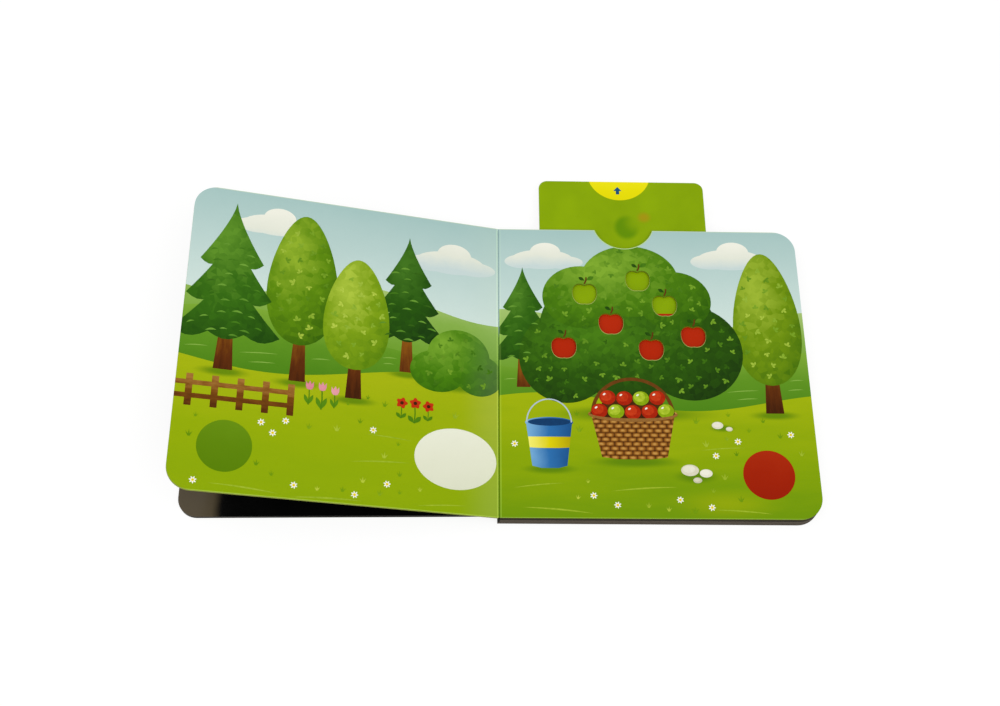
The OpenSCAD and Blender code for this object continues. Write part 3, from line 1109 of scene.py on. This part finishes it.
@dataclass
class MotifSheet:
    """Copies of one printed motif on one page, as a thin layer of ink that stands over the layers below."""

    name: str
    page: Page
    ink: MotifInk
    outline: Points
    stamps: list[Stamp]
    layer: int = 0

    def build(self) -> None:
        """Model the motif once, copy it to each stamp and fix the layer to its page."""
        master = self._master()
        copies = [self._copy(master, stamp) for stamp in self.stamps]
        bpy.data.objects.remove(master)
        bpy.ops.object.select_all(action="DESELECT")
        for copy in copies:
            copy.select_set(True)
        bpy.context.view_layer.objects.active = copies[0]
        if len(copies) > 1:
            bpy.ops.object.join()
        sheet = bpy.context.object
        sheet.name = self.name
        bpy.ops.object.transform_apply(location=True, rotation=True, scale=True)
        thick = sheet.modifiers.new("ink", "SOLIDIFY")
        thick.thickness = INK_T * (1 + self.layer)
        thick.offset = 1.0
        bpy.ops.object.modifier_apply(modifier=thick.name)
        sheet.matrix_world = self._page_frame()
        bpy.ops.object.transform_apply(location=True, rotation=True, scale=True)
        sheet.data.materials.append(self.ink.build())
        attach(sheet, self.page.value)
        LOG.info("printed %s: %d motifs", self.name, len(self.stamps))

    def _master(self) -> bpy.types.Object:
        """Shape a filled circle into the motif's outline."""
        bpy.ops.object.select_all(action="DESELECT")
        bpy.ops.mesh.primitive_circle_add(vertices=len(self.outline), radius=1, fill_type="NGON")
        master = bpy.context.object
        for vertex, (x, y) in zip(master.data.vertices, self.outline):
            vertex.co = (x * MM, y * MM, 0)
        return master

    def _copy(self, master: bpy.types.Object, stamp: Stamp) -> bpy.types.Object:
        """Copy the motif to a stamp, with the stamp's tone on its points.

        Args:
            master: Motif at the origin.
            stamp: Place, size and tone of the copy.

        Returns:
            The copy, linked to the scene.
        """
        copy = bpy.data.objects.new(self.name, master.data.copy())
        bpy.context.scene.collection.objects.link(copy)
        turn = Matrix.Rotation(math.radians(stamp.turn), 4, "Z")
        scale = Matrix.Diagonal((stamp.size, stamp.size * stamp.squash, 1, 1))
        copy.matrix_world = Matrix.Translation((stamp.x * MM, stamp.y * MM, 0)) @ turn @ scale
        tone = copy.data.attributes.new("tone", "FLOAT", "POINT")
        tone.data.foreach_set("value", [stamp.tone] * len(copy.data.vertices))
        return copy

    def _page_frame(self) -> Matrix:
        """Find the printed surface of the page as a frame whose Z points out of the print."""
        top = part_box("right_sky")[1].z
        if self.page is Page.RIGHT:
            return Matrix.Translation((0, 0, top))
        return (
            Matrix.Translation((0, 0, top + SWING_CLEAR))
            @ Matrix.Rotation(LEAF_LIFT, 4, "Y")
            @ Matrix.Translation((0, 0, -SWING_CLEAR))
        )


LEAF_GAP = 6.4
LEAF_SIZE = 2.5
BOUGH_GAP = 6.0
TUFT_COUNT = 34
TUFT_GAP = 9.0
TUFT_CLEAR = 5.5
STREAK_W = 2.6
MEADOW_TOP = -24.0


def scatter(rng: random.Random, count: int, inside: list[Oval], outside: list[Oval], gap: float) -> Points:
    """Spread points over some ovals, each a gap away from the others.

    Args:
        rng: Source of chance.
        count: Count of points wanted.
        inside: Ovals that may hold points.
        outside: Ovals that stay free.
        gap: Least distance between points in millimetres.

    Returns:
        The points that found a place.
    """
    points: Points = []
    for _ in range(count * 40):
        home = rng.choice(inside)
        x = home.x + home.half_w * rng.uniform(-1, 1)
        y = home.y + home.half_h * rng.uniform(-1, 1)
        if not home.holds(x, y) or any(oval.holds(x, y) for oval in outside):
            continue
        if all(math.hypot(x - a, y - b) > gap for a, b in points):
            points.append((x, y))
        if len(points) == count:
            break
    return points


def sprigs(rng: random.Random, points: Points, tones: Pair) -> list[Stamp]:
    """Put a sprig of three leaves at each point.

    Args:
        rng: Source of chance.
        points: Stalk ends in millimetres.
        tones: Darkest and lightest tone.

    Returns:
        One stamp for each leaf.
    """
    stamps = []
    for x, y in points:
        lean = rng.uniform(0, 360)
        tone = rng.uniform(*tones)
        length = LEAF_SIZE * rng.uniform(0.8, 1.15)
        for turn, share in ((-62, 0.85), (0, 1.1), (62, 0.85)):
            stamps.append(Stamp(x, y, length * share, lean + turn, tone))
    return stamps


@dataclass(frozen=True)
class Fir:
    """Fir with three tiers, in millimetres, and the count of boughs wanted on it."""

    x: float
    foot: float
    width: float
    height: float
    count: int

    def boughs(self, rng: random.Random) -> list[Stamp]:
        """Spread drooping boughs over the tiers.

        Args:
            rng: Source of chance.

        Returns:
            One stamp for each bough.
        """
        tiers = []
        for i in range(3):
            middle = self.foot + self.height * (0.1 + 0.26 * i)
            tiers.append(Oval(self.x, middle, self.width * (0.36 - 0.085 * i), self.height * 0.11))
        stamps = []
        for x, y in scatter(rng, self.count, tiers, [], BOUGH_GAP):
            size = rng.uniform(3.8, 5.6)
            stamps.append(Stamp(x, y, size, -1.1 * (x - self.x), rng.uniform(0.2, 0.95)))
        return stamps


LEAF_LIGHT = MotifInk("light_leaf", even("#3f7206", "#7ba226", "#b2c848"))
LEAF_DARK = MotifInk("dark_leaf", even("#173a04", "#3e700e", "#74a028"))
BOUGH = MotifInk("fir_bough", even("#173c06", "#447818", "#70a038"))
STREAK = MotifInk("hill_streak", even("#6e9c2e", "#90b650"))
GRASS = MotifInk("grass", even("#5a8604", "#769a08", "#bccb40"))
STALK = MotifInk("stalk", even("#3a6a04", "#588a10"))
PINK = MotifInk("pink_petal", even("#b8506c", "#d98896", "#efbab2"))
POPPY = MotifInk("red_petal", even("#961a02", "#ba2e0a", "#d8553a"))
WHITE = MotifInk("white_petal", even("#d6d8c6", "#f6f5ea"))
YELLOW = MotifInk("yellow_petal", even("#d0a604", "#e6d008", "#f4ea60"))
BROWN = MotifInk("brown_cane", even("#3c1c04", "#6a3e10", "#a2743a"))
# The lower half of the run is red fruit, the upper half green.
FRUIT = MotifInk(
    "fruit",
    (
        (0.0, "#8c1602"),
        (0.2, "#a82206"),
        (0.46, "#cc4018"),
        (0.54, "#5f8204"),
        (0.8, "#86a40a"),
        (1.0, "#b0c634"),
    ),
)
WIRE = MotifInk("wire", even("#8ba2b2", "#c6d4da"))
PAIL_MOUTH = MotifInk("pail_mouth", even("#0f355e", "#1d5288"))
PEBBLE = MotifInk("pebble", even("#a8a484", "#cfcbb0", "#eae8d6"))
# Painted highlight on the pressed rims of the windows and the notch.
RIM_HIGHLIGHT = MotifInk("rim_highlight", ((0.2, "#a2a23e"), (0.8, "#bcd89a")))


@dataclass
class PageMotifs:
    """Small motifs that both pages have: sweeps and streaks of light, tufts of grass and daisies."""

    rng: random.Random
    page: Page

    def _own(self, name: str) -> str:
        """Put the page's side before a name."""
        return f"{self.page.name.lower()}_{name}"

    def _print(
        self, name: str, ink: MotifInk, outline: Points, stamps: list[Stamp], layer: int = 0
    ) -> None:
        """Print copies of a motif on the page.

        Args:
            name: Name of the sheet.
            ink: Ink of the motif.
            outline: Outline of the motif in its own units.
            stamps: Places of the copies.
            layer: Count of layers of ink below it.
        """
        MotifSheet(name, self.page, ink, outline, stamps, layer).build()

    def _light(self, sweeps: tuple[Quad, ...], slopes: tuple[Trio, ...]) -> None:
        """Print broad sweeps on the meadow and thin streaks of one width on the hill.

        Args:
            sweeps: Middle, length and turn of each sweep.
            slopes: Middle and length of each streak.
        """
        strokes = [Stamp(x, y, size, turn, tone=0.7, squash=0.12) for x, y, size, turn in sweeps]
        self._print(self._own("sweeps"), GRASS, bough_outline(), strokes)
        lines = [Stamp(x, y, size, turn=4, tone=0.6, squash=STREAK_W / size) for x, y, size in slopes]
        self._print(self._own("streaks"), STREAK, bough_outline(), lines)

    def _tufts(self, meadow: Oval, free: list[Oval], taken: Points) -> None:
        """Print tufts of grass on the meadow.

        Args:
            meadow: Stretch that may hold tufts.
            free: Ovals that stay free of them.
            taken: Places of other motifs, which tufts keep clear of.
        """
        spots = scatter(self.rng, TUFT_COUNT, [meadow], free, TUFT_GAP)
        tufts = [
            Stamp(x, y, self.rng.uniform(2.4, 4.0), self.rng.uniform(-8, 8), self.rng.uniform(0.1, 0.95))
            for x, y in spots
            if self.page is Page.LEFT or y < MEADOW_TOP
        ]
        clear = [
            tuft for tuft in tufts if all(math.hypot(tuft.x - x, tuft.y - y) > TUFT_CLEAR for x, y in taken)
        ]
        self._print(self._own("tufts"), GRASS, TUFT, clear, 1)

    def _daisies(self, places: tuple[Pair, ...], turn: float) -> None:
        """Print daisies with yellow hearts.

        Args:
            places: Middles of the daisies.
            turn: Turn from one daisy to the next in degrees.
        """
        petals = [Stamp(x, y, 1.9, turn * i, tone=0.8) for i, (x, y) in enumerate(places)]
        self._print(self._own("daisies"), WHITE, round_outline(7, 0.5, 56), petals, 1)
        hearts = [Stamp(x, y, 0.7, tone=0.4) for x, y in places]
        self._print(self._own("daisy_hearts"), YELLOW, round_outline(sides=16), hearts, 2)


@dataclass
class LeftMotifs(PageMotifs):
    """Small motifs of the left page: leaves, boughs, grass and flowers, each by its foot and height."""

    tulips: tuple[Trio, ...] = ((-99.5, -34, 9.5), (-93, -36, 11.5), (-86.5, -34.5, 8.5))
    poppies: tuple[Trio, ...] = ((-52, -36, 8.0), (-45, -38, 10.5), (-38, -36, 7.5))
    daisies: tuple[Pair, ...] = (
        (-122, -46), (-116, -51), (-66, -44), (-58, -72), (-104, -77), (-74, -79), (-152, -79), (-110, -44),
    )
    fence_end: Pair = (-109, -25)

    def build(self) -> None:
        """Print the left page's motifs, from the ground up."""
        self._ground()
        self._trees()
        self._flowers()

    def _ground(self) -> None:
        """Print light on the hill and the meadow, and tufts of grass."""
        self._light(
            (
                (-128, -80, 34, -4), (-62, -60, 30, 4), (-58, -46.5, 24, -3),
                (-88, -81.6, 36, 2), (-30, -80, 26, 5),
            ),
            (
                (-157, -8, 12), (-126, -8.5, 20), (-124, -13.5, 14),
                (-94.5, -8, 10), (-59, -2.6, 8), (-59.5, -6, 6),
            ),
        )
        beds = [(x, y + share * h) for x, y, h in self.tulips + self.poppies for share in (0.0, 0.5, 1.1)]
        self._tufts(
            Oval(-82, -52, 76, 30),
            [
                Oval(-138.7, -60.2, 17, 18),
                Oval(-23, -55, 26, 21),
                Oval(-135, -32, 30, 12),
                Oval(-92, -62, 32, 14),
            ],
            [*beds, *self.daisies, self.fence_end],
        )

    def _trees(self) -> None:
        """Print leaves on the poplars and the bush, and boughs on the firs."""
        near = Oval(-77, 20, 19, 34)
        far = scatter(self.rng, 30, [Oval(-106, 34, 14, 31)], [near, Oval(-143, 8, 29, 22)], LEAF_GAP)
        close = scatter(self.rng, 32, [Oval(-77, 18, 13, 26)], [], LEAF_GAP)
        leaves = sprigs(self.rng, far, (0.15, 0.8)) + sprigs(self.rng, close, (0.35, 1.0))
        self._print("left_poplar_leaves", LEAF_LIGHT, leaf_outline(), leaves)
        bush = [Oval(-22, 2, 13, 12), Oval(-33, -7, 11, 8), Oval(-12, -7, 8, 8)]
        low = scatter(self.rng, 30, bush, [], LEAF_GAP)
        self._print("left_bush_leaves", LEAF_DARK, leaf_outline(), sprigs(self.rng, low, (0.3, 1.0)))
        boughs = Fir(-143, 0, 54, 76, 34).boughs(self.rng) + Fir(-50, 10, 42, 60, 26).boughs(self.rng)
        self._print("left_boughs", BOUGH, bough_outline(), boughs)

    def _flowers(self) -> None:
        """Print tulips, poppies and daisies."""
        stems = [Stamp(x, y, h, tone=0.4) for x, y, h in self.tulips + self.poppies]
        self._print("left_stems", STALK, STEM, stems)
        blades = []
        for x, y, h in self.tulips:
            blades += [Stamp(x, y, 0.62 * h, 90 + lean, tone=0.8, squash=0.6) for lean in (-22, 22)]
        for x, y, h in self.poppies:
            blades += [Stamp(x, y, 0.5 * h, 90 + lean, tone=0.5, squash=0.9) for lean in (-40, 40)]
        self._print("left_blades", STALK, leaf_outline(), blades, 1)
        heads = []
        for i, (x, y, h) in enumerate(self.tulips):
            heads.append(Stamp(x + 0.3, y + h + 1.2, 4.6, tone=0.45 + 0.1 * i))
        self._print("left_tulips", PINK, TULIP, heads, 1)
        red = [Stamp(x + 0.3, y + h + 0.6, 3.1, turn=18 * i) for i, (x, y, h) in enumerate(self.poppies)]
        self._print("left_poppies", POPPY, round_outline(5, 0.3, 40), red, 1)
        eyes = [Stamp(stamp.x, stamp.y, 0.95, tone=0.0) for stamp in red]
        self._print("left_poppy_eyes", BROWN, round_outline(sides=20), eyes, 2)
        self._daisies(self.daisies, 20)


@dataclass
class RightMotifs(PageMotifs):
    """Small motifs of the right page: the fruit bush's leaves, the basket, the pail, pebbles and grass.

    The windows, the notch, the basket and the pail have the places that the CAD gives them. A stone has its
    half width and tone, and a fruit of the heap its tone.
    """

    windows: tuple[Pair, ...] = (
        (46.8, 44.0), (76.2, 52.5), (90.2, 37.2), (34.8, 11.5), (60.6, 26.0), (81.7, 10.7), (104.8, 18.7),
    )
    notch: Pair = (69.7, 89.4)
    notch_r: float = 17.42
    basket: Pair = (70, -27)
    pail: Pair = (26, -32)
    daisies: tuple[Pair, ...] = (
        (48, -72), (92, -74), (112, -50), (8, -44), (124, -42), (60, -77), (108, -78), (152, -38),
    )
    stones: tuple[Quad, ...] = (
        (98, -58, 4.6, 0.6), (106.2, -59.6, 3.3, 0.85), (101.6, -63.4, 2.3, 0.35),
        (114, -33, 3.0, 0.7), (120, -35, 1.8, 0.5),
    )
    heap: tuple[Trio, ...] = (
        (52.5, -25.2, 0.15), (61.2, -25.6, 0.78), (70.0, -25.9, 0.2),
        (78.8, -25.6, 0.15), (87.4, -25.2, 0.78), (57.0, -17.6, 0.2),
        (65.8, -18.0, 0.15), (74.6, -18.0, 0.78), (83.2, -17.6, 0.2),
    )

    def build(self) -> None:
        """Print the right page's motifs, from the ground up."""
        self._ground()
        self._trees()
        self._windows()
        self._basket()
        self._pail()

    def _ground(self) -> None:
        """Print light on the hill and the meadow, tufts of grass, pebbles and daisies."""
        self._light(
            (
                (30, -79, 36, -5), (74, -67.5, 34, 4), (124, -79.5, 30, -4),
                (116, -45.6, 24, 4), (20, -66, 26, 6),
            ),
            ((6, -7, 7), (129, -13, 18), (131, -17.5, 12), (157, -12, 9), (158, -6.5, 8)),
        )
        self._tufts(
            Oval(84, -52, 76, 30),
            [
                Oval(138.7, -60.2, 17, 18),
                Oval(70, -44, 29, 30),
                Oval(26, -50, 17, 24),
                Oval(103, -58, 13, 9),
            ],
            [*self.daisies, *(stone[:2] for stone in self.stones)],
        )
        pebbles = [Stamp(x, y, half, tone=tone, squash=0.68) for x, y, half, tone in self.stones]
        self._print("right_pebbles", PEBBLE, round_outline(), pebbles, 1)
        caps = [
            Stamp(x - 0.12 * half, y + 0.14 * half, 0.7 * half, tone=tone + 0.2, squash=0.62)
            for x, y, half, tone in self.stones
        ]
        self._print("right_pebble_caps", PEBBLE, round_outline(), caps, 2)
        self._daisies(self.daisies, 25)

    def _trees(self) -> None:
        """Print leaves on the fruit bush and the poplar, and boughs on the fir."""
        free = [Oval(x, y + 2, 11.5, 12.5) for x, y in self.windows]
        tops = [Oval(71.7, 52, 24, 19), Oval(44.7, 42, 17, 15), Oval(95.7, 40, 16, 14)]
        low = [Oval(69.7, 22, 43, 36), Oval(36, 6, 21, 23), Oval(102.7, 9, 24, 24)]
        high = scatter(self.rng, 44, tops, free, LEAF_GAP)
        taken = [Oval(x, y, LEAF_GAP, LEAF_GAP) for x, y in high]
        deep = scatter(self.rng, 100, low, free + tops + taken + [Oval(70, -18, 26, 13)], LEAF_GAP)
        leaves = sprigs(self.rng, high, (0.55, 1.0)) + sprigs(self.rng, deep, (0.25, 1.0))
        self._print("right_bush_leaves", LEAF_DARK, leaf_outline(), leaves)
        crown = scatter(self.rng, 38, [Oval(145, 28, 14, 33)], [], LEAF_GAP)
        self._print("right_poplar_leaves", LEAF_LIGHT, leaf_outline(), sprigs(self.rng, crown, (0.2, 0.95)))
        boughs = [stamp for stamp in Fir(13, 6, 36, 54, 20).boughs(self.rng) if 3.5 < stamp.x < 22]
        self._print("right_boughs", BOUGH, bough_outline(), boughs)

    def _windows(self) -> None:
        """Print a stalk and two leaves above each window, and painted highlights on the rims of the windows
        and the notch.
        """
        stalks = [Stamp(x, y + 5.9, 4.4, turn=-14, tone=0.35) for x, y in self.windows]
        wide = [(3.2 * x, y) for x, y in STEM]
        self._print("window_stalks", BROWN, wide, stalks, 1)
        leaves = []
        for x, y in self.windows:
            leaves.append(Stamp(x + 1.0, y + 8.2, 4.8, turn=28, tone=0.55))
            leaves.append(Stamp(x + 0.2, y + 8.0, 3.8, turn=148, tone=0.1))
        self._print("window_leaves", LEAF_DARK, leaf_outline(), leaves, 1)
        # Painted highlights on the pressed rims of the windows and the notch.
        rim_highlights = [Stamp(x, y, 1.0, tone=0.35) for x, y in self.windows]
        self._print("window_rim_highlights", RIM_HIGHLIGHT, WindowRimHighlight().outline(), rim_highlights, 1)
        rim = band_outline(self.notch_r, self.notch_r, 0.4, 199.5, 340.5)
        self._print("notch_rim_highlight", RIM_HIGHLIGHT, rim, [Stamp(*self.notch, 1.0, tone=1.0)], 1)

    def _basket(self) -> None:
        """Print the basket's handle, its heap of fruit and its rim."""
        x, y = self.basket
        handle = band_outline(22, 21, 1.9, 0, 180)
        self._print("basket_handle", BROWN, handle, [Stamp(x, y, 1.0, tone=0.45)])
        disc = round_outline(sides=48)
        self._print("basket_mouth", BROWN, disc, [Stamp(x, y, 22.4, tone=0.0, squash=0.15)], 1)
        self._print("basket_hollow", BROWN, disc, [Stamp(x, y + 4.8, 16.5, tone=0.1, squash=0.36)])
        fruit = [Stamp(a, b, 4.3, tone=tone, squash=0.94) for a, b, tone in self.heap]
        self._print("basket_fruit", FRUIT, round_outline(), fruit, 2)
        cheeks = [Stamp(a - 0.8, b + 0.8, 3.0, tone=tone + 0.16, squash=0.94) for a, b, tone in self.heap]
        self._print("basket_cheeks", FRUIT, round_outline(), cheeks, 3)
        glints = [Stamp(a - 1.7, b + 1.8, 0.8, turn=35, tone=0.7, squash=0.6) for a, b, _ in self.heap]
        self._print("basket_glints", WHITE, round_outline(sides=16), glints, 4)
        rim = band_outline(23.6, 4.4, 1.9, 180, 360)
        self._print("basket_rim", BROWN, rim, [Stamp(x, y, 1.0, tone=0.8)], 4)

    def _pail(self) -> None:
        """Print the pail's dark mouth and its wire handle."""
        x, y = self.pail
        mouth = [Stamp(x, y + 0.2, 11.0, tone=0.1, squash=0.19)]
        self._print("pail_mouth", PAIL_MOUTH, round_outline(sides=40), mouth)
        wire = band_outline(12, 13.5, 0.7, 0, 180)
        self._print("pail_wire", WIRE, wire, [Stamp(x, y, 1.0, tone=0.6)], 1)


@dataclass
class Studio:
    """Camera at the photograph's angle, soft lamps, a pale floor and a white surround."""

    eye: Vector = Vector((-20.2, -298.1, 652.8)) * MM
    forward: Vector = Vector((0.02921, 0.42913, -0.90277))
    right: Vector = Vector((0.99952, -0.00343, 0.03071))
    lens_mm: float = 48.19
    sensor_mm: float = 36.0
    floor_half: float = 12.0
    floor_drop: float = 0.3 * MM
    floor_glow: float = 1.05
    glow_share: float = 0.8
    world_light: float = 0.55

    def build(self) -> None:
        """Make the camera, lamps, floor and world."""
        self._camera()
        self._lamp("key_lamp", Vector((0.55, -0.75, 1.5)), 1.3, 13.0)
        self._lamp("fill_lamp", Vector((-0.9, -0.2, 1.3)), 1.4, 7.0)
        self._floor()
        self._world()
        bpy.context.scene.view_settings.view_transform = "Standard"

    def _camera(self) -> None:
        """Place the camera."""
        data = bpy.data.cameras.new("camera")
        data.lens = self.lens_mm
        data.sensor_width = self.sensor_mm
        data.clip_start = 10 * MM
        camera = bpy.data.objects.new("camera", data)
        back = -self.forward.normalized()
        side = (self.right - self.right.dot(back) * back).normalized()
        turn = Matrix((side, back.cross(side), back)).transposed().to_4x4()
        camera.matrix_world = Matrix.Translation(self.eye) @ turn
        bpy.context.scene.collection.objects.link(camera)
        bpy.context.scene.camera = camera

    def _lamp(self, name: str, place: Vector, size: float, power: float) -> None:
        """Add a square soft lamp that faces the book.

        Args:
            name: Name of the lamp.
            place: Middle of the lamp.
            size: Side of the lamp in metres.
            power: Power in watts.
        """
        data = bpy.data.lights.new(name, "AREA")
        data.size = size
        data.energy = power
        lamp = bpy.data.objects.new(name, data)
        turn = (-place).to_track_quat("-Z", "Y").to_matrix().to_4x4()
        lamp.matrix_world = Matrix.Translation(place) @ turn
        bpy.context.scene.collection.objects.link(lamp)

    def _seen(self, tree: Tree) -> Socket:
        """Tell the rays that show the surround from those that light the book.

        Args:
            tree: Node tree of the floor or the world.

        Returns:
            Socket that is 1 for camera, glossy and transmission rays.
        """
        seen = add_node(tree, "LightPath", {}, {}, "Is Camera Ray")
        path = seen.node
        for kind in ("Is Glossy Ray", "Is Transmission Ray"):
            links = {0: seen, 1: path.outputs[kind]}
            seen = add_node(tree, "Math", {"operation": "MAXIMUM"}, links)
        return seen

    def _floor(self) -> None:
        """Lay the pale floor just under the book."""
        bpy.ops.object.select_all(action="DESELECT")
        bpy.ops.mesh.primitive_plane_add(size=2 * self.floor_half, location=(0, 0, -self.floor_drop))
        floor = bpy.context.object
        floor.name = "floor"
        bpy.ops.object.transform_apply(location=True, rotation=True, scale=True)
        # The eye sees matt white paper that runs into the surround and keeps the book's soft shadow.
        material, tree, _ = new_material("pale_paper_sweep")
        matt = add_node(tree, "BsdfDiffuse", {"Color": linear("#f6f6f4")}, {})
        glow = add_node(tree, "Emission", {"Color": linear("#ffffff"), "Strength": self.floor_glow}, {})
        soft = add_node(tree, "MixShader", {0: self.glow_share}, {1: matt, 2: glow})
        mixed = add_node(tree, "MixShader", {}, {0: self._seen(tree), 1: matt, 2: soft})
        add_node(tree, "OutputMaterial", {}, {"Surface": mixed})
        floor.data.materials.append(material)

    def _world(self) -> None:
        """Make the surround white to the eye and even grey as a light."""
        world = bpy.data.worlds.new("studio")
        bpy.context.scene.world = world
        world.use_nodes = True
        tree = world.node_tree
        tree.nodes.clear()
        strength = add_node(
            tree, "MapRange", {1: 0.0, 2: 1.0, 3: self.world_light, 4: 1.0}, {0: self._seen(tree)}
        )
        light = add_node(tree, "Background", {"Color": linear("#ffffff")}, {"Strength": strength})
        add_node(tree, "OutputWorld", {}, {"Surface": light})


def main() -> None:
    """Build the scene in order and report each part."""
    logging.basicConfig(level=logging.INFO, format="%(name)s: %(message)s")
    Studio().build()
    BoardsAndCovers().dress()
    PrintedPages().dress()
    GutterFold().build()
    LeftMotifs(random.Random(LEFT_SEED), Page.LEFT).build()
    RightMotifs(random.Random(RIGHT_SEED), Page.RIGHT).build()
    LOG.info("size written")


if __name__ == "__main__":
    main()
